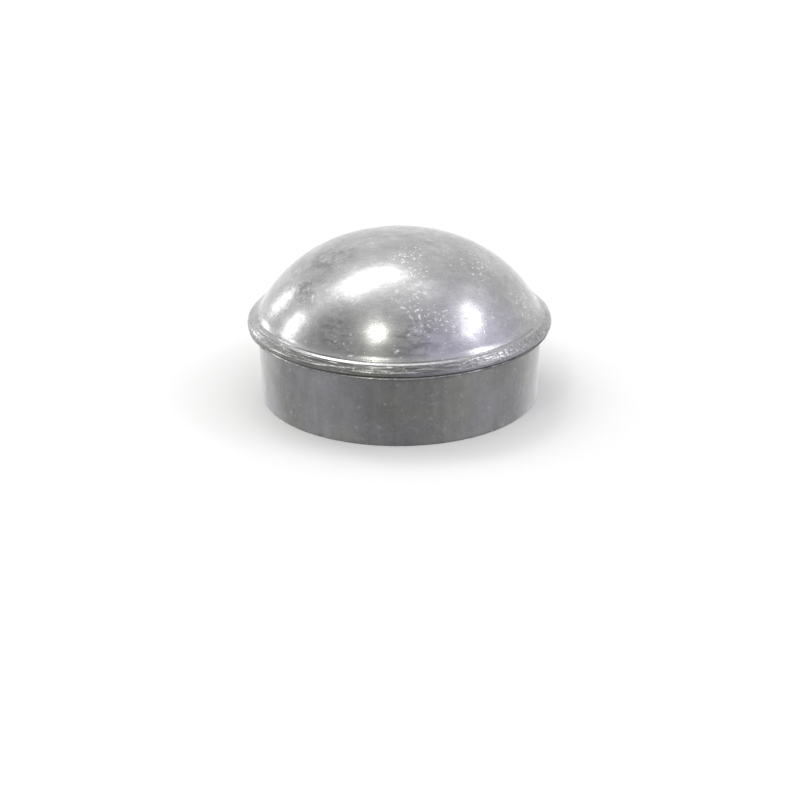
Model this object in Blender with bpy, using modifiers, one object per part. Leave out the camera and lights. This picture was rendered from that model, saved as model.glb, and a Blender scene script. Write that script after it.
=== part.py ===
"""Fence post cap: one die-cast aluminium dome cap for a round post of 60.3 mm outside diameter.

The cap is a single casting, turned about +Z. The origin is the centre of the rim that the skirt ends in,
so the cap stands on z = 0 with its dome up. All sizes are in metres and all angles in degrees.
"""

from math import asin, cos, degrees, radians, sin, tan

import bmesh
import bpy
from mathutils import Vector

NAME = "fence_post_cap"

# Overall
HEIGHT = 0.0398  # rim to the top of the dome
POST_RADIUS = 0.03015  # the round post that the socket takes
WALL = 0.0026  # wall of the dome

# Dome. An outside angle is how far the surface faces away from straight up.
CROWN_RADIUS = 0.0485
CROWN_ANGLE = 17.0
SHOULDER_RADIUS = 0.0338
SHOULDER_ANGLE = 59.3
NECK_RADIUS = 0.0050  # hollow curve at the foot of the dome
NECK_ANGLE = 42.0

# Lip, flared out from the neck past a slight crease, with its nose at the parting line of the die
LIP_RADIUS = 0.03675
FLARE_START = 35.0
FLARE_END = 46.0
NOSE_RADIUS = 0.00125
TUCK_INSET = 0.00033  # the lip's lower edge lies this far in from the nose
TUCK_DROP = 0.0005
LIP_CORNER = 0.0001
UNDERSIDE_SLOPE = 18.0
UNDERSIDE_FILLET = 0.0009

# Skirt, and the socket inside it
SKIRT_RADIUS = 0.0336  # outside, at the rim
SKIRT_DRAFT = 2.0
RIM_ROUND = 0.00025
CLEARANCE_AT_MOUTH = 0.0005
CLEARANCE_AT_STOP = 0.00015
LEAD_IN = 0.0006
SOCKET_DEPTH = 0.0215
SOCKET_FILLET = 0.0004

# Hollow of the dome, above the ledge that stops the post
HOLLOW_RADIUS = 0.0285
HOLLOW_CORNER = 0.0030
LEDGE_CORNER = 0.0003

STEPS_ROUND = 72
CORNER_SPACING = 25.0
SMOOTH_BELOW = 30.0


def arc_on(points, radius, start, end, spacing):
    """Goes on from the last point with an arc that faces start degrees from up and turns to end.

    A negative radius makes a hollow curve.
    """
    last_r, last_z = points[-1]
    centre_r = last_r - radius * sin(radians(start))
    centre_z = last_z - radius * cos(radians(start))
    count = max(2, round(abs(end - start) / spacing))
    for i in range(1, count + 1):
        angle = radians(start + (end - start) * i / count)
        points.append((centre_r + radius * sin(angle), centre_z + radius * cos(angle)))


def rounded(corners):
    """The outline through the corners (r, z, radius), each corner with a radius turned into an arc."""
    outline = []
    for i, (r, z, radius) in enumerate(corners):
        corner = Vector((r, z))
        if radius == 0:
            outline.append(tuple(corner))
            continue
        to_last = (Vector(corners[i - 1][:2]) - corner).normalized()
        to_next = (Vector(corners[i + 1][:2]) - corner).normalized()
        half_angle = to_last.angle(to_next) / 2
        centre = corner + (to_last + to_next).normalized() * (radius / sin(half_angle))
        start = (corner + to_last * (radius / tan(half_angle)) - centre).normalized()
        end = (corner + to_next * (radius / tan(half_angle)) - centre).normalized()
        count = max(2, round(degrees(start.angle(end)) / CORNER_SPACING))
        for step in range(count + 1):
            outline.append(tuple(centre + start.slerp(end, step / count) * radius))
    return outline


def dome_outside():
    """From the top of the dome down to the nose of the lip, where the cap is widest."""
    points = [(0.0, HEIGHT)]
    arc_on(points, CROWN_RADIUS, 0.0, CROWN_ANGLE, 3.4)
    arc_on(points, SHOULDER_RADIUS, CROWN_ANGLE, SHOULDER_ANGLE, 3.7)
    arc_on(points, -NECK_RADIUS, SHOULDER_ANGLE, NECK_ANGLE, 6.0)
    # The flare is a shallow arc, as wide as it has to be for the nose to end at the lip's radius.
    flare_width = LIP_RADIUS - NOSE_RADIUS * (1 - sin(radians(FLARE_END))) - points[-1][0]
    flare_radius = flare_width / (sin(radians(FLARE_END)) - sin(radians(FLARE_START)))
    arc_on(points, flare_radius, FLARE_START, FLARE_END, 3.0)
    arc_on(points, NOSE_RADIUS, FLARE_END, 90.0, 11.0)
    return points


def dome_inside():
    """From the inner top of the dome down to the wall of the hollow, a wall's thickness inside the dome."""
    shoulder = SHOULDER_RADIUS - WALL
    shoulder_centre = (CROWN_RADIUS - SHOULDER_RADIUS) * sin(radians(CROWN_ANGLE))
    reach = (HOLLOW_RADIUS - HOLLOW_CORNER - shoulder_centre) / (shoulder - HOLLOW_CORNER)
    corner_angle = degrees(asin(reach))
    points = [(0.0, HEIGHT - WALL)]
    arc_on(points, CROWN_RADIUS - WALL, 0.0, CROWN_ANGLE, 5.0)
    arc_on(points, shoulder, CROWN_ANGLE, corner_angle, 5.0)
    arc_on(points, HOLLOW_CORNER, corner_angle, 90.0, 10.0)
    return points


def lip_skirt_and_socket(nose_height):
    """From the nose of the lip round its lower edge, down the skirt, over the rim and up the socket."""
    edge_radius = LIP_RADIUS - TUCK_INSET
    edge_height = nose_height - TUCK_DROP
    # The underside falls inwards and the skirt narrows downwards, so the two lines are solved for their corner.
    slope, draft = tan(radians(UNDERSIDE_SLOPE)), tan(radians(SKIRT_DRAFT))
    skirt_top = (edge_height - (edge_radius - SKIRT_RADIUS) * slope) / (1 - draft * slope)
    return rounded(
        [
            (LIP_RADIUS, nose_height, 0),
            (edge_radius, edge_height, LIP_CORNER),
            (SKIRT_RADIUS + skirt_top * draft, skirt_top, UNDERSIDE_FILLET),
            (SKIRT_RADIUS, 0, RIM_ROUND),
            (POST_RADIUS + CLEARANCE_AT_MOUTH + LEAD_IN, 0, 0),
            (POST_RADIUS + CLEARANCE_AT_MOUTH, LEAD_IN, 0),
            (POST_RADIUS + CLEARANCE_AT_STOP, SOCKET_DEPTH, SOCKET_FILLET),
            (HOLLOW_RADIUS, SOCKET_DEPTH, LEDGE_CORNER),
            (HOLLOW_RADIUS, SOCKET_DEPTH + 4 * LEDGE_CORNER, 0),
        ]
    )


def cap_profile():
    """Half of the cap's section at +X: down the outside, round the rim and up the inside."""
    outside = dome_outside()
    nose_height = outside.pop()[1]
    return outside + lip_skirt_and_socket(nose_height) + dome_inside()[::-1]


def turned(name, profile, collection):
    """An object made by turning a profile of (r, z) points about +Z."""
    mesh = bpy.data.meshes.new(name)
    shape = bmesh.new()
    points = [shape.verts.new((r, 0, z)) for r, z in profile]
    for first, second in zip(points, points[1:]):
        shape.edges.new((first, second))
    shape.to_mesh(mesh)
    shape.free()
    obj = bpy.data.objects.new(name, mesh)
    collection.objects.link(obj)
    screw = obj.modifiers.new("Turn", "SCREW")
    screw.axis = "Z"
    screw.steps = screw.render_steps = STEPS_ROUND
    screw.use_merge_vertices = True
    screw.merge_threshold = 1e-5
    screw.use_smooth_shade = True
    return obj


def make_mesh_real(obj):
    """Applies the object's modifiers to its mesh, and shades it smooth up to its sharp edges."""
    graph = bpy.context.evaluated_depsgraph_get()
    solid = bpy.data.meshes.new_from_object(obj.evaluated_get(graph))
    obj.modifiers.clear()
    obj.data = solid
    solid.shade_smooth()
    solid.set_sharp_from_angle(angle=radians(SMOOTH_BELOW))


def cast_aluminium():
    material = bpy.data.materials.new("cast_aluminium")
    material.use_nodes = True
    shader = material.node_tree.nodes["Principled BSDF"]
    shader.inputs["Base Color"].default_value = (0.56, 0.56, 0.57, 1)
    shader.inputs["Metallic"].default_value = 1.0
    shader.inputs["Roughness"].default_value = 0.36
    return material


def clear_scene():
    for obj in list(bpy.data.objects):
        bpy.data.objects.remove(obj, do_unlink=True)


def build_cap(collection):
    cap = turned("cap_casting", cap_profile(), collection)
    make_mesh_real(cap)
    cap.data.materials.append(cast_aluminium())
    return cap


clear_scene()
parts = bpy.data.collections.new(NAME)
bpy.context.scene.collection.children.link(parts)
build_cap(parts)
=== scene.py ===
"""Looks of the fence post cap: one aluminium die casting, bright on the dome and satin on the skirt.

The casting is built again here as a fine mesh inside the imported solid's box, with the torn scar of the
parting line, nicks, die drag and the marks inside that a faceted solid leaves out. Lengths are in metres.
"""

import math
import random

import bpy
import numpy as np
from mathutils import Euler, Matrix, Vector, noise


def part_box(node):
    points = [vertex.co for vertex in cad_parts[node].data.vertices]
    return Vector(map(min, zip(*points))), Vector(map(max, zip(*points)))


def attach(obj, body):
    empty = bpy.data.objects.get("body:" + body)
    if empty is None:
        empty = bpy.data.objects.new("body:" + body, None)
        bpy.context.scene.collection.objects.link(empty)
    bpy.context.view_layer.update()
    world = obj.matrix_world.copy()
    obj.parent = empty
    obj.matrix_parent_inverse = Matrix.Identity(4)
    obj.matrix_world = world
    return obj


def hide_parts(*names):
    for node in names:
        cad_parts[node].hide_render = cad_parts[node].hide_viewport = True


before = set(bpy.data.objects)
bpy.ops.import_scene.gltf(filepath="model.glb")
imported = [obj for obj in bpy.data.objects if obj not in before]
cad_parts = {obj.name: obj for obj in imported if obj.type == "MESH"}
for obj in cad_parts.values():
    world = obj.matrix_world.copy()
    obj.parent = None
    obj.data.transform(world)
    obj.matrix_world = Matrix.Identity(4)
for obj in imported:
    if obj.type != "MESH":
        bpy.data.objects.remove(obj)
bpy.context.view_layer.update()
low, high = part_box("cap_casting")

MM = 0.001

# The casting's section, as the design has it. An angle is how far the surface faces away from straight up.
HEIGHT = high.z
LIP_RADIUS = high.x
WALL = 2.6 * MM
CROWN_RADIUS, CROWN_ANGLE = 48.5 * MM, 17.0
SHOULDER_RADIUS, SHOULDER_ANGLE = 33.8 * MM, 59.3
NECK_RADIUS, NECK_ANGLE = 5.0 * MM, 42.0
FLARE_START, FLARE_END = 35.0, 46.0
NOSE_RADIUS = 1.25 * MM
TUCK_INSET, TUCK_DROP = 0.33 * MM, 0.5 * MM
UNDERSIDE_SLOPE, UNDERSIDE_FILLET = 18.0, 0.9 * MM
SKIRT_RADIUS, SKIRT_DRAFT = 33.6 * MM, 2.0
RIM_ROUND = 0.25 * MM
MOUTH_RADIUS, STOP_RADIUS, LEAD_IN = 30.65 * MM, 30.3 * MM, 0.6 * MM
SOCKET_DEPTH, SOCKET_FILLET = 21.5 * MM, 0.4 * MM
HOLLOW_RADIUS, HOLLOW_CORNER, LEDGE_CORNER = 28.5 * MM, 3.0 * MM, 0.3 * MM

# The flare as it really is: a small step at the crease, a narrow flatter strip, then the face that trimming
# tore. A slope is how steeply the surface falls, in degrees.
STEP_WIDTH, STEP_SLOPE = 0.26 * MM, 60.0
STRIP_WIDTH, STRIP_SLOPE, STRIP_CORNER = 0.70 * MM, 26.5, 0.3 * MM

# Below the nose the parting line left a groove and a thin fin, each this far in from the nose and below it
GROOVE_INSET, GROOVE_DROP = 0.40 * MM, 0.36 * MM
FIN_INSET, FIN_DROP = 0.10 * MM, 0.68 * MM
FIN_THICKNESS, FIN_LEAN = 0.18 * MM, 0.04 * MM

# Marks of the ejector pins, which stand in a ring inside the dome
PIN_RING, PIN_RADIUS, PIN_HEIGHT = 11 * MM, 2.5 * MM, 0.15 * MM

FINE, COARSE = 576, 288  # vertices round the cap: outside and beyond FINE_BEYOND of the axis, and elsewhere
FINE_BEYOND = 14 * MM
SEED = 7


def sine(angle):
    return math.sin(math.radians(angle))


def cosine(angle):
    return math.cos(math.radians(angle))


def direction(azimuth, rise):
    """Azimuth 0 is the camera's side, and 90 is to the right as the camera sees it."""
    return Vector((sine(azimuth) * cosine(rise), -cosine(azimuth) * cosine(rise), sine(rise)))


# ---------------------------------------------------------------- section

class Outline:
    """Points (r, z) along the casting's section, and how far along it each named place lies."""

    def __init__(self, start):
        self.points = [start]
        self.along = [0.0]
        self.places = {}

    def add(self, point):
        self.along.append(self.along[-1] + math.dist(self.points[-1], point))
        self.points.append(tuple(point))

    def mark(self, place):
        self.places[place] = self.along[-1]

    def line(self, end, spacing):
        start, end = Vector(self.points[-1]), Vector(end)
        count = max(1, round((end - start).length / spacing))
        for i in range(1, count + 1):
            self.add(start.lerp(end, i / count))

    def arc(self, radius, start, end, spacing):
        """An arc that faces start degrees from up and turns to end. A negative radius makes it hollow."""
        last_r, last_z = self.points[-1]
        centre_r = last_r - radius * sine(start)
        centre_z = last_z - radius * cosine(start)
        count = max(3, round(abs(radius * math.radians(end - start)) / spacing))
        for i in range(1, count + 1):
            angle = start + (end - start) * i / count
            self.add((centre_r + radius * sine(angle), centre_z + radius * cosine(angle)))

    def corner(self, corner, after, radius, spacing, steps=4):
        """A straight line towards a corner, and round it towards the point after."""
        corner = Vector(corner)
        to_last = (Vector(self.points[-1]) - corner).normalized()
        to_next = (Vector(after) - corner).normalized()
        half_angle = to_last.angle(to_next) / 2
        centre = corner + (to_last + to_next).normalized() * (radius / math.sin(half_angle))
        start = (corner + to_last * (radius / math.tan(half_angle)) - centre).normalized()
        end = (corner + to_next * (radius / math.tan(half_angle)) - centre).normalized()
        self.line(centre + start * radius, spacing)
        for i in range(1, steps + 1):
            self.add(centre + start.slerp(end, i / steps) * radius)


def dome_inside():
    """The inner top of the dome down to the wall of the hollow, a wall's thickness inside the dome."""
    inside = Outline((0.0, HEIGHT - WALL))
    shoulder = SHOULDER_RADIUS - WALL
    shoulder_centre = (CROWN_RADIUS - SHOULDER_RADIUS) * sine(CROWN_ANGLE)
    reach = (HOLLOW_RADIUS - HOLLOW_CORNER - shoulder_centre) / (shoulder - HOLLOW_CORNER)
    corner_angle = math.degrees(math.asin(reach))
    inside.arc(CROWN_RADIUS - WALL, 0.0, CROWN_ANGLE, 0.9 * MM)
    inside.arc(shoulder, CROWN_ANGLE, corner_angle, 1.3 * MM)
    inside.arc(HOLLOW_CORNER, corner_angle, 90.0, 0.7 * MM)
    return inside.points


def cap_outline():
    """The section at +X: down the outside from the top, round the rim and up the inside to the axis."""
    outline = Outline((0.0, HEIGHT))
    outline.arc(CROWN_RADIUS, 0.0, CROWN_ANGLE, 0.8 * MM)
    outline.arc(SHOULDER_RADIUS, CROWN_ANGLE, SHOULDER_ANGLE, 0.75 * MM)
    outline.arc(-NECK_RADIUS, SHOULDER_ANGLE, NECK_ANGLE, 0.2 * MM)
    outline.mark("crease")
    crease_r, crease_z = outline.points[-1]
    nose_r = LIP_RADIUS - NOSE_RADIUS * (1 - sine(FLARE_END))
    flare_radius = (nose_r - crease_r) / (sine(FLARE_END) - sine(FLARE_START))
    nose = (nose_r, crease_z - flare_radius * (cosine(FLARE_START) - cosine(FLARE_END)))
    step_r, step_z = crease_r + STEP_WIDTH * cosine(STEP_SLOPE), crease_z - STEP_WIDTH * sine(STEP_SLOPE)
    outline.line((step_r, step_z), 0.09 * MM)
    strip_end = (step_r + STRIP_WIDTH * cosine(STRIP_SLOPE), step_z - STRIP_WIDTH * sine(STRIP_SLOPE))
    outline.corner(strip_end, nose, STRIP_CORNER, 0.13 * MM, 3)
    outline.mark("torn_face")
    outline.line(nose, 0.1 * MM)
    outline.arc(NOSE_RADIUS, FLARE_END, 90.0, 0.1 * MM)
    outline.mark("nose")
    nose_z = outline.points[-1][1]
    outline.line((LIP_RADIUS - GROOVE_INSET, nose_z - GROOVE_DROP), 0.09 * MM)
    outline.mark("groove")
    outline.line((LIP_RADIUS - FIN_INSET, nose_z - FIN_DROP), 0.09 * MM)
    outline.line((LIP_RADIUS - FIN_INSET - FIN_LEAN, nose_z - FIN_DROP - FIN_THICKNESS), 0.06 * MM)
    outline.mark("fin_end")

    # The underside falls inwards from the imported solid's lower edge of the lip, and the skirt narrows
    # downwards, so the two lines are solved for their corner.
    edge = (LIP_RADIUS - TUCK_INSET, nose_z - TUCK_DROP)
    slope, draft = math.tan(math.radians(UNDERSIDE_SLOPE)), math.tan(math.radians(SKIRT_DRAFT))
    skirt_z = (edge[1] - (edge[0] - SKIRT_RADIUS) * slope) / (1 - draft * slope)
    skirt_top = (SKIRT_RADIUS + skirt_z * draft, skirt_z)
    rim = (SKIRT_RADIUS, 0.0)
    mouth = (MOUTH_RADIUS + LEAD_IN, 0.0)
    outline.corner(skirt_top, rim, UNDERSIDE_FILLET, 0.25 * MM, 6)
    outline.mark("skirt")
    outline.corner(rim, mouth, RIM_ROUND, 0.9 * MM)
    outline.line(mouth, 0.7 * MM)
    outline.mark("mouth")

    ledge, hollow = (STOP_RADIUS, SOCKET_DEPTH), (HOLLOW_RADIUS, SOCKET_DEPTH)
    outline.line((MOUTH_RADIUS, LEAD_IN), 0.4 * MM)
    outline.corner(ledge, hollow, SOCKET_FILLET, 1.5 * MM)
    outline.corner(hollow, (HOLLOW_RADIUS, HEIGHT), LEDGE_CORNER, 0.5 * MM)
    inside = dome_inside()
    outline.line(inside[-1], 0.9 * MM)
    for point in inside[-2::-1]:
        outline.add(point)
    return outline


# ---------------------------------------------------------------- relief

def noise_at(points):
    """Smooth noise from -1 to 1 at each of the points."""
    return np.array([noise.noise(Vector(p)) for p in points])


def fractal_at(points, octaves=4):
    return np.array([noise.fractal(Vector(p), 1.0, 2.0, octaves) for p in points])


def smooth_step(x, start, end):
    t = np.clip((x - start) / (end - start), 0, 1)
    return t * t * (3 - 2 * t)


def band(x, start, end, soft):
    """1 from start to end, with soft sides."""
    return smooth_step(x, start - soft, start) * (1 - smooth_step(x, end, end + soft))


class Surface:
    """The casting's vertices, ring by ring, with what the relief needs to know about each one."""

    def __init__(self, outline):
        section = np.array(outline.points)
        self.places = outline.places
        ahead = np.gradient(section, axis=0)
        normal = np.stack([-ahead[:, 1], ahead[:, 0]], axis=1)
        normal /= np.linalg.norm(normal, axis=1)[:, None]
        self.counts = [self.count_at(r, along) for (r, _), along in zip(section, outline.along)]
        self.starts = np.concatenate([[0], np.cumsum(self.counts)])
        self.turn = np.concatenate([np.linspace(0, 2 * math.pi, n, endpoint=False) for n in self.counts])
        self.along = np.repeat(outline.along, self.counts)
        r, z = (np.repeat(section[:, i], self.counts) for i in (0, 1))
        out, up = (np.repeat(normal[:, i], self.counts) for i in (0, 1))
        cos, sin = np.cos(self.turn), np.sin(self.turn)
        self.points = np.stack([r * cos, r * sin, z], axis=1)
        self.normals = np.stack([out * cos, out * sin, up], axis=1)

    def count_at(self, r, along):
        if r < 1e-9:
            return 1
        return FINE if r > FINE_BEYOND and along <= self.places["mouth"] else COARSE

    def between(self, start, end):
        """Which vertices lie from one named place of the section to another."""
        far = {"top": -1.0, "inner_top": self.along[-1] + 1.0, **self.places}
        return (self.along > far[start]) & (self.along <= far[end])

    def move(self, chosen, distance):
        """Moves the chosen vertices along their normals, inwards where distance is negative."""
        self.points[chosen] += self.normals[chosen] * distance[:, None]

    def faces(self):
        """The faces between each two rings. One ring may have half as many vertices, or be one point."""
        made = []
        for ring in range(len(self.counts) - 1):
            upper, lower = int(self.starts[ring]), int(self.starts[ring + 1])
            upper_count, lower_count = self.counts[ring], self.counts[ring + 1]
            steps = max(upper_count, lower_count)
            for i in range(steps):
                corners = (
                    upper + i * upper_count // steps,
                    lower + i * lower_count // steps,
                    lower + (i + 1) * lower_count // steps % lower_count,
                    upper + (i + 1) * upper_count // steps % upper_count,
                )
                made.append(list(dict.fromkeys(corners)))
        return made


def facing(turn, azimuth, sharpness=1.0):
    """1 where the cap's side at this azimuth is, falling to 0 at the opposite side."""
    return (0.5 + 0.5 * np.cos(turn - math.radians(azimuth - 90))) ** sharpness


def tear_the_lip(surface):
    """The scar of trimmed flash: torn layers and chips on the lip's face, and a thin fin below them."""
    layer_depth, fine_layer_depth, chip_depth, fin_retreat = 0.065 * MM, 0.020 * MM, 0.085 * MM, 0.34 * MM
    places = surface.places
    near = surface.between("top", "skirt") & (surface.along > places["crease"] - 1.5 * MM)
    along, turn = surface.along[near], surface.turn[near]
    x, y = np.cos(turn) * LIP_RADIUS, np.sin(turn) * LIP_RADIUS

    def round_lip(size, height=0.0):
        """The directions of the vertices as points round the lip, all at one height, in units of size."""
        return np.stack([x, y, np.full(len(x), height)], axis=1) / size

    drift = noise_at(round_lip(9 * MM)) * 0.35 * MM

    def drawn_out(length, width, seed):
        """Noise drawn out along the lip, with length round it and width across it."""
        return noise_at(np.stack([x / length + seed, y / length, (along + drift) / width], axis=1))

    layers = smooth_step(drawn_out(6.0 * MM, 0.42 * MM, 0), -0.25, 0.35)
    fine_layers = drawn_out(3.5 * MM, 0.20 * MM, 40)
    chips = np.clip(drawn_out(0.9 * MM, 0.5 * MM, 80) * 1.6, -0.5, 0.6)
    patches = 0.5 + 0.5 * noise_at(round_lip(8 * MM, 3 * MM))
    # Most of the layers face the front, and most of the chips the front right.
    layered = 0.12 + 0.88 * facing(turn, -12, 4.0)
    chipped = 0.12 + 0.88 * facing(turn, 38, 4.0)
    torn = layered * (layers * layer_depth + fine_layers * fine_layer_depth)
    torn += chipped * patches * chips * chip_depth
    face = band(along + drift * 0.4, places["torn_face"] + 0.15 * MM, places["nose"] - 0.20 * MM, 0.22 * MM)

    # The fin has broken away in places, most of it at the right.
    broken = np.clip(1.7 - 2.0 * facing(turn, -35) + fractal_at(round_lip(2.6 * MM)) * 0.9, 0, 1)
    fin = band(along, places["groove"] + 0.10 * MM, places["fin_end"], 0.12 * MM)
    surface.move(near, -face * torn - fin * (0.1 + 0.9 * broken) * fin_retreat)


def dent_the_dome(surface):
    """Slow waves from the tumbling, and small shallow dents."""
    dents, furthest_out, keep_inside, fade_width = 70, 33 * MM, 0.03 * MM, 3 * MM
    dome = surface.between("top", "crease")
    points = surface.points[dome]
    crease = surface.places["crease"]
    fade = 1 - smooth_step(surface.along[dome], crease - fade_width, crease)
    waves = noise_at(points / (11 * MM)) * 0.024 * MM + noise_at(points / (3.4 * MM) + 5) * 0.004 * MM
    depth = np.full(len(points), keep_inside)
    draw = random.Random(SEED)
    for _ in range(dents):
        turn, share = draw.uniform(0, 2 * math.pi), draw.uniform(0.05, 0.98)
        ring = furthest_out * math.sqrt(share)
        width, deep = draw.uniform(0.5, 1.6) * MM, draw.uniform(0.006, 0.024) * MM
        away = np.hypot(points[:, 0] - ring * math.cos(turn), points[:, 1] - ring * math.sin(turn))
        depth += deep * np.exp(-((away / width) ** 2) * 2)
    surface.move(dome, (waves - depth) * fade)


def drag_the_skirt(surface):
    """Faint upright drag lines from the die, a few pits, and small knocks on the rim."""
    keep_inside, knocked_up_to = 0.02 * MM, 0.7 * MM
    skirt = surface.between("skirt", "mouth")
    points = surface.points[skirt]
    upright = points * np.array([1, 1, 0.05])
    lines = noise_at(upright / (1.1 * MM)) * 0.006 * MM + noise_at(points / (7 * MM)) * 0.02 * MM
    pits = np.clip(noise_at(points / (1.3 * MM) + 20) - 0.55, 0, 1) * 0.10 * MM
    knocks = np.clip(fractal_at(points / (1.6 * MM) + 9) - 0.35, 0, 1) * 0.12 * MM
    knocks *= 1 - smooth_step(points[:, 2], 0.05 * MM, knocked_up_to)
    surface.move(skirt, lines - pits - knocks - keep_inside)


def mark_the_inside(surface):
    """The rough skin of the core, and the round marks of four ejector pins under the dome."""
    inside = surface.between("mouth", "inner_top")
    points = surface.points[inside]
    in_dome = smooth_step(points[:, 2], SOCKET_DEPTH + 6 * MM, SOCKET_DEPTH + 8 * MM)
    skin = fractal_at(points / (2.2 * MM)) * (0.012 + 0.022 * in_dome) * MM
    soft = 0.4 * MM
    for turn in (45, 135, 225, 315):
        middle = Vector((cosine(turn), sine(turn))) * PIN_RING
        away = np.hypot(points[:, 0] - middle.x, points[:, 1] - middle.y)
        skin += in_dome * band(away, 0.0, PIN_RADIUS, soft) * PIN_HEIGHT
        # A shallow groove runs round each mark.
        skin -= in_dome * band(away, PIN_RADIUS + soft, PIN_RADIUS + 1.5 * soft, soft) * 0.06 * MM
    surface.move(inside, skin)


def casting_mesh():
    """The fine mesh, whose second material slot is the skin inside."""
    surface = Surface(cap_outline())
    dent_the_dome(surface)
    tear_the_lip(surface)
    drag_the_skirt(surface)
    mark_the_inside(surface)
    faces = surface.faces()
    mesh = bpy.data.meshes.new("cap_fine")
    mesh.from_pydata(surface.points.tolist(), [], faces)
    inside = surface.between("mouth", "inner_top")
    mesh.polygons.foreach_set("material_index", [int(inside[list(face)].any()) for face in faces])
    mesh.shade_smooth()
    return mesh


# ---------------------------------------------------------------- material

WOBBLE_SIZE = 0.45 * MM  # of the unevenness that keeps the dashes from being straight bars
DASH_CONTRAST = 4.0  # how soon a dash is at full strength, as the amount passes its chance


class Nodes:
    """Short ways to add and link the nodes of one material. The functions below call it n."""

    def __init__(self, name):
        self.material = bpy.data.materials.new(name)
        self.material.use_nodes = True
        self.tree = self.material.node_tree
        self.shader = self.tree.nodes["Principled BSDF"]
        self.shader.inputs["Metallic"].default_value = 1.0

    def node(self, kind, **values):
        made = self.tree.nodes.new(kind)
        for key, value in values.items():
            setattr(made, key, value)
        return made

    def link(self, source, target):
        if isinstance(source, (int, float, tuple)):
            target.default_value = source
        else:
            self.tree.links.new(source, target)

    def math(self, operation, a, b=0.0):
        made = self.node("ShaderNodeMath", operation=operation)
        self.link(a, made.inputs[0])
        self.link(b, made.inputs[1])
        return made.outputs[0]

    def times(self, a, b):
        return self.math("MULTIPLY", a, b)

    def plus(self, a, b):
        return self.math("ADD", a, b)

    def minus(self, a, b):
        return self.math("SUBTRACT", a, b)

    def larger(self, a, b):
        return self.math("MAXIMUM", a, b)

    def vector(self, operation, a, b=(0.0, 0.0, 0.0), output="Vector", scale=None):
        """A vector operation on a and b, or on a and a scale."""
        made = self.node("ShaderNodeVectorMath", operation=operation)
        self.link(a, made.inputs[0])
        if scale is None:
            self.link(b, made.inputs[1])
        else:
            self.link(scale, made.inputs["Scale"])
        return made.outputs[output]

    def remap(self, value, low_in, high_in, low_out=0.0, high_out=1.0):
        """The value's smooth step from low_out at low_in to high_out at high_in."""
        made = self.node("ShaderNodeMapRange", interpolation_type="SMOOTHSTEP")
        for socket, number in zip(made.inputs, (value, low_in, high_in, low_out, high_out)):
            self.link(number, socket)
        return made.outputs[0]

    def between(self, value, start, end, soft):
        """1 where the value is from start to end, with soft sides."""
        rise = self.remap(value, start - soft, start)
        return self.times(rise, self.remap(value, end, end + soft, 1.0, 0.0))

    def mix(self, factor, a, b):
        made = self.node("ShaderNodeMix", data_type="RGBA")
        self.link(factor, made.inputs[0])
        self.link(a, made.inputs[6])
        self.link(b, made.inputs[7])
        return made.outputs[2]

    def mix_number(self, factor, a, b):
        made = self.node("ShaderNodeMix", data_type="FLOAT")
        self.link(factor, made.inputs[0])
        self.link(a, made.inputs[2])
        self.link(b, made.inputs[3])
        return made.outputs[0]

    def place(self, size, shift=(0, 0, 0)):
        """The object's own coordinates in units of size, which may differ by axis."""
        size = size if isinstance(size, tuple) else (size,) * 3
        coordinates = self.node("ShaderNodeTexCoord")
        mapping = self.node("ShaderNodeMapping")
        self.link(coordinates.outputs["Object"], mapping.inputs["Vector"])
        mapping.inputs["Location"].default_value = shift
        mapping.inputs["Scale"].default_value = tuple(1 / s for s in size)
        return mapping.outputs[0]

    def noise(self, size, detail=3.0, rough=0.5, distortion=0.0, shift=(0, 0, 0)):
        """Noise whose features are about size metres across."""
        made = self.node("ShaderNodeTexNoise")
        self.link(self.place(size, shift), made.inputs["Vector"])
        made.inputs["Scale"].default_value = 1.0
        made.inputs["Detail"].default_value = detail
        made.inputs["Roughness"].default_value = rough
        made.inputs["Distortion"].default_value = distortion
        return made.outputs[0]

    def height(self):
        """The z coordinate, in metres."""
        coordinates = self.node("ShaderNodeTexCoord")
        split = self.node("ShaderNodeSeparateXYZ")
        self.link(coordinates.outputs["Object"], split.inputs[0])
        return split.outputs["Z"]

    def near(self, place, inner, outer):
        """1 within inner metres of a place on the cap, falling to 0 at outer."""
        coordinates = self.node("ShaderNodeTexCoord")
        away = self.vector("DISTANCE", coordinates.outputs["Object"], tuple(place), "Value")
        return self.remap(away, inner, outer, 1.0, 0.0)

    def dashes(self, spacing, length, width, amount, shift=(0, 0, 0)):
        """Short straight marks lying in the surface, each in its own direction.

        There is at most one for each cell of the spacing. Length and width are from its middle line to its
        edge, in cells. The amount, a number or a node's output from 0 to 1, is how many of the cells have
        one, some fainter than others.
        """
        wobble = self.node("ShaderNodeTexNoise")
        self.link(self.place(WOBBLE_SIZE), wobble.inputs["Vector"])
        wobble.inputs["Scale"].default_value = 1.0
        uneven = self.vector("SUBTRACT", wobble.outputs["Color"], (0.5, 0.5, 0.5))
        uneven = self.vector("SCALE", uneven, scale=3 * width)
        place = self.vector("ADD", self.place(spacing, shift), uneven)
        cells = self.node("ShaderNodeTexVoronoi")
        self.link(place, cells.inputs["Vector"])
        cells.inputs["Scale"].default_value = 1.0
        normal = self.node("ShaderNodeTexCoord").outputs["Normal"]

        def lay_flat(vector):
            lean = self.vector("DOT_PRODUCT", vector, normal, "Value")
            return self.vector("SUBTRACT", vector, self.vector("SCALE", normal, scale=lean))

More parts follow.
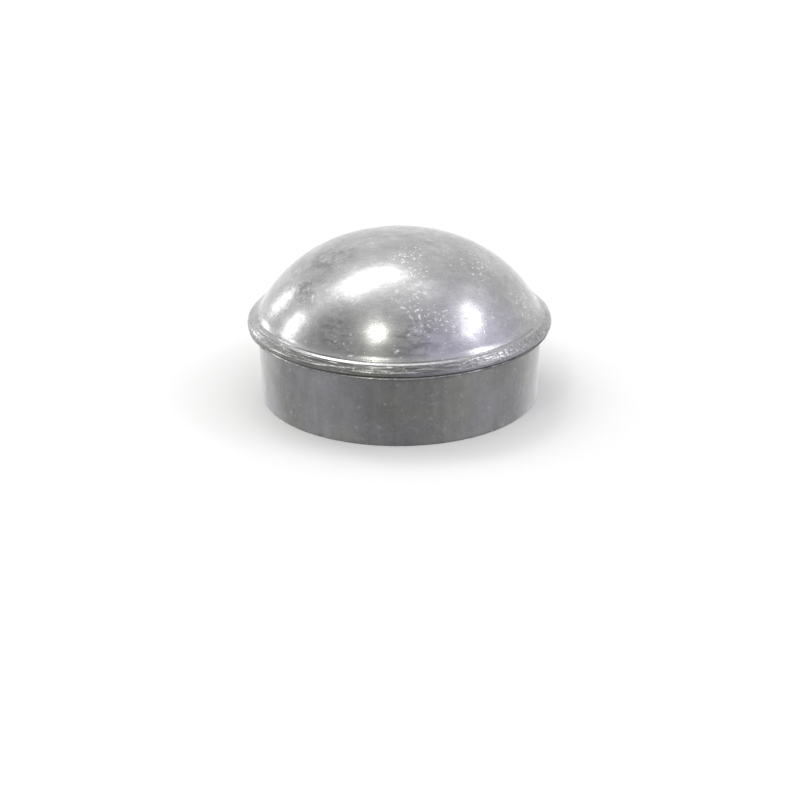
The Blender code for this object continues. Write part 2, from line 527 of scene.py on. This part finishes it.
        offset = lay_flat(self.vector("SUBTRACT", place, cells.outputs["Position"]))
        heading = self.vector("SUBTRACT", cells.outputs["Color"], (0.5, 0.5, 0.5))
        heading = self.vector("NORMALIZE", lay_flat(heading))
        ahead = self.vector("DOT_PRODUCT", offset, heading, "Value")
        aside = self.vector("SUBTRACT", offset, self.vector("SCALE", heading, scale=ahead))
        aside = self.vector("LENGTH", aside, output="Value")
        chance = self.node("ShaderNodeTexWhiteNoise", noise_dimensions="3D")
        self.link(cells.outputs["Position"], chance.inputs["Vector"])
        split = self.node("ShaderNodeSeparateXYZ")
        self.link(chance.outputs["Color"], split.inputs[0])
        own_length = self.remap(split.outputs["Y"], 0.0, 1.0, 0.25, 1.2)
        own_width = self.remap(split.outputs["Z"], 0.0, 1.0, 0.35, 1.2)
        ahead = self.math("DIVIDE", self.math("ABSOLUTE", ahead), own_length)
        aside = self.math("DIVIDE", aside, own_width)
        mark = self.remap(ahead, length * 0.3, length, 1.0, 0.0)
        mark = self.times(mark, self.remap(aside, width * 0.1, width, 1.0, 0.0))
        strength = self.times(self.minus(amount, chance.outputs["Value"]), DASH_CONTRAST)
        return self.times(mark, self.math("MINIMUM", self.larger(strength, 0.0), 1.0))


# Heights that the skin outside changes between, or that a mark of its own lies between. The marks under the
# lip, at the fin, in the groove and in the crease are painted shade, and the fin's pale band at the scar is
# a painted highlight.
SHADE_UNDER_LIP = (16.3 * MM, 17.6 * MM)
SKIRT_ENDS = (17.3 * MM, 17.9 * MM)
FIN_LEVEL = (17.90 * MM, 18.28 * MM)
FIN_SHADE_LEVEL = (17.90 * MM, 18.40 * MM)
GROOVE_LEVEL = (18.42 * MM, 18.76 * MM)
LOW_ON_LIP_ENDS = (19.0 * MM, 20.0 * MM)
TORN_FACE_ENDS = (20.75 * MM, 21.0 * MM)
CREASE_LEVEL = (21.24 * MM, 21.46 * MM)

# Where the dome is stained darkest, and where it has rubbed against other castings: the azimuth of each
# patch from the front, its radius and height on the cap in mm, and how far it reaches in mm
STAINS = (
    (-72, 17.0, 36.5, 10.0),
    (-60, 25.0, 32.0, 7.0),
    (-29, 30.5, 26.5, 7.0),
    (6, 31.0, 26.0, 9.0),
)
SCUFFS = (
    (12, 10.0, 38.7, 5.0),
    (12, 17.0, 36.6, 4.5),
    (6, 23.0, 33.4, 5.0),
    (13, 28.5, 29.0, 6.0),
    (22, 28.5, 29.0, 4.0),
    (74, 31.0, 26.0, 6.5),
    (72, 20.0, 35.0, 6.5),
)
SCAR_AZIMUTH = -14  # the middle of the lip's torn stretch


def grey(value, more_blue=0.0):
    return (value, value, value + more_blue, 1)


def on_cap(azimuth, radius, height):
    """A place on the cap, by azimuth from the front, and radius and height in mm."""
    return Vector((sine(azimuth) * radius, -cosine(azimuth) * radius, height)) * MM


def in_patches(n, patches, inner, outer, elsewhere=0.0):
    """1 within the inner share of a patch's reach, falling to the value elsewhere at the outer share."""
    covered = elsewhere
    for azimuth, radius, height, reach in patches:
        near = n.near(on_cap(azimuth, radius, height), inner * reach * MM, outer * reach * MM)
        covered = n.larger(covered, near)
    return covered


def tumbling_marks(n, skirt, above_skirt):
    """Nicks, most of them where castings have rubbed together, and the dome's scratches and hairlines."""
    elsewhere = n.remap(n.noise(9 * MM, 2, 0.5, 0.0, (7, 3, 1)), 0.52, 0.66, 0.0, 0.5)
    scuffed = n.larger(in_patches(n, SCUFFS, 0.3, 1.3), elsewhere)
    scuffed = n.larger(n.times(scuffed, above_skirt), n.times(skirt, 0.30))
    large = n.dashes(1.9 * MM, 0.40, 0.17, n.times(scuffed, 0.90))
    large = n.times(large, n.remap(skirt, 0.0, 1.0, 1.0, 0.55))
    small = n.dashes(1.0 * MM, 0.34, 0.22, n.times(scuffed, 0.50), (3, 9, 4))
    scratches = n.dashes(2.6 * MM, 0.75, 0.050, 0.42, (8, 1, 6))
    hairlines = n.dashes(1.0 * MM, 0.60, 0.09, 0.50, (2, 7, 7))
    return n.larger(large, small), n.times(scratches, above_skirt), n.times(hairlines, above_skirt)


def dome_skin(n, level, mottle, drawn, hairlines):
    """Colour and roughness of the dome: stains, mottle and drawn streaks, and painted shade in the crease.
    """
    stain = n.remap(n.noise((8 * MM, 8 * MM, 5 * MM), 6, 0.62, 0.3), 0.38, 0.62)
    blotches = n.remap(n.noise((3.6 * MM, 3.6 * MM, 1.5 * MM), 5, 0.65, 0.2, (5, 2, 8)), 0.42, 0.58)
    dark = n.times(in_patches(n, STAINS, 0.15, 1.0, 0.12), blotches)
    # Painted shade: the crease between the dome and the lip is darkened in the colour.
    painted_recess_shade = n.times(n.between(level, *CREASE_LEVEL, 0.08 * MM), n.remap(stain, 0.2, 0.8, 0.3, 0.9))

    colour = n.mix(stain, grey(0.49, 0.005), grey(0.62, 0.002))
    colour = n.mix(n.times(mottle, 0.60), colour, grey(0.41, 0.005))
    colour = n.mix(n.times(dark, 0.85), colour, grey(0.25, 0.005))
    colour = n.mix(n.times(drawn, 0.30), colour, grey(0.68))
    colour = n.mix(n.times(hairlines, 0.25), colour, grey(0.68))
    colour = n.mix(n.times(painted_recess_shade, 0.6), colour, grey(0.22))
    rough = n.plus(n.remap(mottle, 0.0, 1.0, 0.22, 0.29), n.times(dark, 0.04))
    return colour, rough


def lip_skin(n, level):
    """Colour, roughness and height of the lip: torn layers in front, chips elsewhere, painted shade in the
    groove and on the fin, and a painted highlight on the fin at the scar.
    """
    layers = n.noise((6 * MM, 6 * MM, 0.42 * MM), 3, 0.6, 0.5)
    lines = n.noise((4 * MM, 4 * MM, 0.20 * MM), 2, 0.5, 0.4, (6, 3, 2))
    chips = n.remap(n.noise(0.55 * MM, 3, 0.6), 0.44, 0.60)
    place = n.node("ShaderNodeTexCoord").outputs["Object"]
    ahead = n.vector("DOT_PRODUCT", place, tuple(direction(SCAR_AZIMUTH, 0)), "Value")
    scarred = n.remap(ahead, 16 * MM, 34 * MM, 0.15, 1.0)
    low_down = n.remap(level, *LOW_ON_LIP_ENDS, 1.0, 0.0)
    # Painted shade: the groove under the nose is darker, and the fin darker away from the scar. Painted
    # highlight: the fin is paler along the scar.
    painted_recess_shade = n.times(n.between(level, *GROOVE_LEVEL, 0.08 * MM), n.remap(layers, 0.38, 0.62, 0.35, 1.0))
    painted_fin_shade = n.times(n.between(level, *FIN_SHADE_LEVEL, 0.10 * MM), n.remap(scarred, 0.5, 0.95, 0.8, 0.0))
    painted_fin_highlight = n.times(n.between(level, *FIN_LEVEL, 0.05 * MM), n.remap(scarred, 0.5, 0.95))

    colour = n.mix(n.remap(layers, 0.42, 0.58), grey(0.23, -0.005), grey(0.47, -0.005))
    colour = n.mix(n.remap(lines, 0.46, 0.56, 0.6, 0.0), colour, grey(0.12, -0.002))
    colour = n.mix(scarred, n.mix(chips, grey(0.54), grey(0.31)), colour)
    colour = n.mix(n.times(low_down, 0.6), colour, grey(0.44, -0.005))
    colour = n.mix(n.times(painted_recess_shade, scarred), colour, grey(0.08, -0.002))
    colour = n.mix(painted_fin_shade, colour, grey(0.22))
    colour = n.mix(painted_fin_highlight, colour, n.mix(chips, grey(0.58), grey(0.36)))
    rough = n.plus(n.remap(layers, 0.42, 0.58, 0.38, 0.22), n.times(low_down, 0.05))
    height = n.plus(n.times(layers, 3.0), n.times(chips, 0.8))
    return colour, rough, height


def skirt_skin(n, level):
    """Colour and roughness of the skirt: satin, with clouds, streaks, smudges and shade under the lip."""
    streak = n.noise((2.2 * MM, 2.2 * MM, 24 * MM), 3, 0.55)
    blot = n.noise(1.8 * MM, 4, 0.65, 0.4, (4, 4, 9))
    cloud = n.noise(6 * MM, 4, 0.55, 0.4, (3, 1, 2))
    tint = n.noise(13 * MM, 2, 0.5, 0.3, (1, 6, 5))
    smudge = n.remap(n.noise(3 * MM, 4, 0.6, 0.2, (2, 2, 2)), 0.57, 0.72, 0.0, 0.42)
    shaded = n.times(n.remap(level, *SHADE_UNDER_LIP), n.remap(cloud, 0.3, 0.6, 0.25, 0.75))

    colour = n.mix(n.remap(tint, 0.40, 0.60), (0.508, 0.502, 0.488, 1), (0.495, 0.487, 0.528, 1))
    colour = n.mix(n.remap(cloud, 0.38, 0.62, 0.0, 0.55), colour, grey(0.40, 0.005))
    colour = n.mix(n.remap(streak, 0.38, 0.64, 0.0, 0.30), colour, grey(0.57, 0.01))
    colour = n.mix(n.remap(blot, 0.42, 0.64, 0.0, 0.22), colour, grey(0.31, 0.005))
    colour = n.mix(n.remap(streak, 0.36, 0.50, 0.13, 0.0), colour, grey(0.33, 0.005))
    colour = n.mix(smudge, colour, grey(0.68))
    colour = n.mix(shaded, colour, grey(0.26, 0.005))
    return colour, n.remap(streak, 0.3, 0.7, 0.26, 0.34)


def outside_skin(n):
    """Colour, roughness and height of the skin outside: dome, lip and skirt, and the tumbling marks."""
    level = n.height()
    skirt = n.remap(level, *SKIRT_ENDS, 1.0, 0.0)
    above_skirt = n.remap(skirt, 0.0, 1.0, 1.0, 0.0)
    torn = n.remap(level, *TORN_FACE_ENDS, 1.0, 0.0)
    grain = n.noise(0.35 * MM, 3, 0.65)
    mottle = n.remap(n.noise((2.4 * MM, 2.4 * MM, 1.2 * MM), 5, 0.7, 0.2), 0.36, 0.64)
    drawn = n.remap(n.noise((4 * MM, 0.5 * MM, 0.5 * MM), 3, 0.6, 0.2), 0.35, 0.65)
    nicks, scratches, hairlines = tumbling_marks(n, skirt, above_skirt)
    dome_colour, dome_rough = dome_skin(n, level, mottle, drawn, hairlines)
    lip_colour, lip_rough, lip_height = lip_skin(n, level)
    skirt_colour, skirt_rough = skirt_skin(n, level)

    colour = n.mix(skirt, n.mix(torn, dome_colour, lip_colour), skirt_colour)
    colour = n.mix(n.times(scratches, 0.70), colour, grey(0.80))
    colour = n.mix(n.times(nicks, 0.9), colour, grey(0.95))

    rough = n.mix_number(skirt, n.mix_number(torn, dome_rough, lip_rough), skirt_rough)
    rough = n.plus(rough, n.times(nicks, 0.40))

    height = n.plus(n.times(grain, 0.05), n.times(mottle, 0.20))
    height = n.plus(height, n.times(n.times(drawn, above_skirt), 0.15))
    height = n.plus(height, n.times(torn, lip_height))
    height = n.minus(height, n.times(nicks, 0.9))
    height = n.minus(height, n.times(scratches, 0.6))
    height = n.minus(height, n.times(hairlines, 0.05))
    return colour, rough, height


def finish_skin(n, colour, rough, height, strength, depth):
    """Links a skin to the shader. The strength and the depth are those of its bump."""
    n.link(colour, n.shader.inputs["Base Color"])
    n.link(rough, n.shader.inputs["Roughness"])
    bump = n.node("ShaderNodeBump")
    bump.inputs["Strength"].default_value = strength
    bump.inputs["Distance"].default_value = depth
    n.link(height, bump.inputs["Height"])
    n.link(bump.outputs[0], n.shader.inputs["Normal"])
    return n.material


def cast_aluminium():
    """Tumbled bright on the dome, satin and darker on the skirt, bare torn metal between them."""
    n = Nodes("cast_aluminium")
    return finish_skin(n, *outside_skin(n), 0.40, 0.02 * MM)


def cast_aluminium_inside():
    """The dull skin that the core leaves, with flow marks, where tumbling doesn't reach."""
    n = Nodes("cast_aluminium_inside")
    flow = n.noise((5 * MM, 5 * MM, 9 * MM), 5, 0.6, 1.2)
    drag = n.noise((1.0 * MM, 1.0 * MM, 14 * MM), 3, 0.6)
    skin = n.noise(0.6 * MM, 4, 0.7)
    colour = n.mix(n.remap(flow, 0.36, 0.64), grey(0.33, 0.005), grey(0.47, 0.005))
    colour = n.mix(n.remap(drag, 0.45, 0.75, 0.0, 0.4), colour, grey(0.55))
    rough = n.remap(skin, 0.3, 0.7, 0.42, 0.58)
    height = n.plus(n.times(skin, 0.8), n.times(drag, 0.4))
    return finish_skin(n, colour, rough, height, 0.5, 0.04 * MM)


# ---------------------------------------------------------------- studio

CAMERA_RISE = 23.3
CAMERA_DISTANCE = 0.629
CAMERA_ROLL = -0.35
CAMERA_LENS, CAMERA_SENSOR = 115.3, 36.0  # in mm
AIM = Vector((0.0, 0.0, -2.7 * MM))
LIGHT_DISTANCE = 1.2
LIT_HEIGHT = 30 * MM  # the lights stand round this height above the rim
FLOOR_RADIUS = 4.0
VIOLET, WARM, AMBER = (0.96, 0.95, 1.0), (1.0, 1.0, 0.90), (1.0, 0.96, 0.82)


def make_camera():
    data = bpy.data.cameras.new("camera")
    data.lens = CAMERA_LENS
    data.sensor_width = CAMERA_SENSOR
    camera = bpy.data.objects.new("camera", data)
    bpy.context.scene.collection.objects.link(camera)
    camera.location = AIM + direction(0, CAMERA_RISE) * CAMERA_DISTANCE
    turn = Euler((math.radians(90 - CAMERA_RISE), 0, 0)).to_matrix()
    camera.rotation_euler = (turn @ Matrix.Rotation(math.radians(CAMERA_ROLL), 3, "Z")).to_euler()
    bpy.context.scene.camera = camera


def make_softbox(
    name, azimuth, rise, width, height, brightness, colour=(1, 1, 1), spin=0.0, shape="RECTANGLE"
):
    """A soft light that faces the cap. Its face has the brightness, and spin turns it in its own plane."""
    data = bpy.data.lights.new(name, "AREA")
    data.shape = shape
    data.size, data.size_y = width, height
    area = width * height * (math.pi / 4 if shape in ("DISK", "ELLIPSE") else 1)
    data.energy = brightness * area * math.pi
    data.color = colour
    light = bpy.data.objects.new(name, data)
    bpy.context.scene.collection.objects.link(light)
    way = direction(azimuth, rise)
    light.location = way * LIGHT_DISTANCE + Vector((0, 0, LIT_HEIGHT))
    facing_cap = (-way).to_track_quat("-Z", "Y").to_matrix()
    light.rotation_euler = (facing_cap @ Matrix.Rotation(math.radians(spin), 3, "Z")).to_euler()


def ramp_of(tree, value, stops):
    """A ramp through the stops, which are pairs of a place and a brightness, from -1 to 1 in order."""
    scaled = tree.nodes.new("ShaderNodeMapRange")
    scaled.inputs["From Min"].default_value = -1.0
    tree.links.new(value, scaled.inputs["Value"])
    ramp = tree.nodes.new("ShaderNodeValToRGB")
    elements = ramp.color_ramp.elements
    for place, brightness in stops:
        stop = elements[0] if place == -1 else elements[-1] if place == 1 else elements.new((place + 1) / 2)
        stop.color = (brightness, brightness, brightness, 1)
    tree.links.new(scaled.outputs[0], ramp.inputs[0])
    return ramp.outputs[0]


def blended(tree, kind, a, b, factor=None):
    """A mix node's blend of two colours, of this kind, by the factor or in full."""
    made = tree.nodes.new("ShaderNodeMix")
    made.data_type = "RGBA"
    made.blend_type = kind
    made.inputs[0].default_value = 1.0
    if factor is not None:
        tree.links.new(factor, made.inputs[0])
    for socket, source in ((made.inputs[6], a), (made.inputs[7], b)):
        if isinstance(source, tuple):
            socket.default_value = source
        else:
            tree.links.new(source, socket)
    return made.outputs[2]


def mirrored_room(tree):
    """The room that the metal mirrors: dark in front, pale behind and overhead, and violet at the right."""
    coordinates = tree.nodes.new("ShaderNodeTexCoord")
    split = tree.nodes.new("ShaderNodeSeparateXYZ")
    tree.links.new(coordinates.outputs["Generated"], split.inputs[0])
    to_right, to_back, up = (split.outputs[axis] for axis in "XYZ")

    above_horizon = (
        (-1, 0.26), (-0.8, 0.32), (-0.6, 0.40), (-0.3, 0.42), (-0.08, 0.44), (0.08, 0.58),
        (0.3, 0.62), (0.45, 0.64), (0.6, 0.82), (0.75, 0.86), (0.9, 0.96), (1, 0.98),
    )
    below_horizon = (
        (-1, 0.26), (-0.8, 0.34), (-0.58, 0.44), (-0.31, 0.53), (0, 0.46),
        (0.31, 0.47), (0.6, 0.78), (0.8, 1.0), (0.92, 1.25), (1, 1.25),
    )
    upper = ramp_of(tree, up, ((-1, 0), (-0.2, 0), (0, 1), (1, 1)))
    low_walls, high_walls = ramp_of(tree, to_back, below_horizon), ramp_of(tree, to_back, above_horizon)
    walls = blended(tree, "MIX", low_walls, high_walls, upper)
    overhead = ramp_of(tree, up, ((-1, 0), (0.6, 0), (0.8, 0.07), (0.9, 0.15), (0.966, 0.26), (1, 0.42)))

    at_right = ramp_of(tree, to_right, ((-1, 0), (0, 0), (0.4, 0.85), (0.6, 1), (1, 0.95)))
    in_front = ramp_of(tree, to_back, ((-1, 1), (0, 0.8), (0.6, 0), (1, 0)))
    not_below = ramp_of(tree, up, ((-1, 0), (-0.1, 0), (0.35, 1), (1, 0.3)))
    glow = blended(tree, "MULTIPLY", blended(tree, "MULTIPLY", at_right, in_front), not_below)
    glow = blended(tree, "MULTIPLY", glow, (0.54, 0.485, 0.75, 1))

    room = blended(tree, "ADD", blended(tree, "ADD", walls, overhead), glow)
    shade = ramp_of(tree, up, ((-1, 0.3), (-0.75, 0.5), (-0.5, 1), (0, 1), (0.3, 0.9), (1, 0.9)))
    return blended(tree, "MULTIPLY", room, shade)


def make_world():
    """Even white light for the floor, and a room for the metal to mirror."""
    world = bpy.data.worlds.new("studio")
    bpy.context.scene.world = world
    world.use_nodes = True
    tree = world.node_tree
    plain = tree.nodes["Background"]
    plain.inputs["Color"].default_value = (1, 1, 1, 1)
    plain.inputs["Strength"].default_value = 0.95
    mirrored = tree.nodes.new("ShaderNodeBackground")
    tree.links.new(mirrored_room(tree), mirrored.inputs["Color"])
    path = tree.nodes.new("ShaderNodeLightPath")
    choose = tree.nodes.new("ShaderNodeMixShader")
    tree.links.new(path.outputs["Is Glossy Ray"], choose.inputs[0])
    tree.links.new(plain.outputs[0], choose.inputs[1])
    tree.links.new(mirrored.outputs[0], choose.inputs[2])
    tree.links.new(choose.outputs[0], tree.nodes["World Output"].inputs[0])


def make_floor():
    """A plain pale disc, which the metal doesn't mirror."""
    bpy.ops.mesh.primitive_circle_add(
        vertices=128, radius=FLOOR_RADIUS, fill_type="NGON", location=(0, 0, low.z)
    )
    floor = bpy.context.object
    floor.name = "floor"
    material = bpy.data.materials.new("floor")
    material.use_nodes = True
    shader = material.node_tree.nodes["Principled BSDF"]
    shader.inputs["Base Color"].default_value = (0.86, 0.86, 0.86, 1)
    shader.inputs["Roughness"].default_value = 0.9
    shader.inputs["Specular IOR Level"].default_value = 0.0
    floor.data.materials.append(material)
    floor.visible_glossy = False


def make_studio():
    make_camera()
    make_world()
    make_floor()
    make_softbox("high_left_softbox", -142.5, 64.5, 0.74, 0.34, 2.7, spin=-8)
    make_softbox("high_back_wall", 172, 77, 0.80, 0.40, 0.38)
    make_softbox("window_strip", -134, 13, 0.085, 0.30, 5.4)
    make_softbox("left_lamp", -105, 22, 0.17, 0.40, 4.0)
    make_softbox("left_wall", -114, 46, 0.44, 0.40, 0.62)
    make_softbox("front_lamp", -26.5, 54.5, 0.19, 0.23, 8.0, WARM, shape="ELLIPSE")
    make_softbox("front_lamp_top", -43, 67, 0.08, 0.08, 2.5, WARM, shape="DISK")
    make_softbox("front_lamp_glow", -19, 33, 0.30, 0.24, 0.50, AMBER)
    make_softbox("right_softbox", 82, 43.5, 0.52, 0.20, 3.8, VIOLET, spin=30)
    make_softbox("right_wall", 108, 44, 0.56, 0.36, 0.24, VIOLET)
    bpy.context.scene.view_settings.view_transform = "Standard"


# ---------------------------------------------------------------- the cap

def make_cap():
    cap = bpy.data.objects.new("cap", casting_mesh())
    bpy.context.scene.collection.objects.link(cap)
    cap.data.materials.append(cast_aluminium())
    cap.data.materials.append(cast_aluminium_inside())
    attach(cap, "root")
    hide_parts("cap_casting")


make_studio()
make_cap()
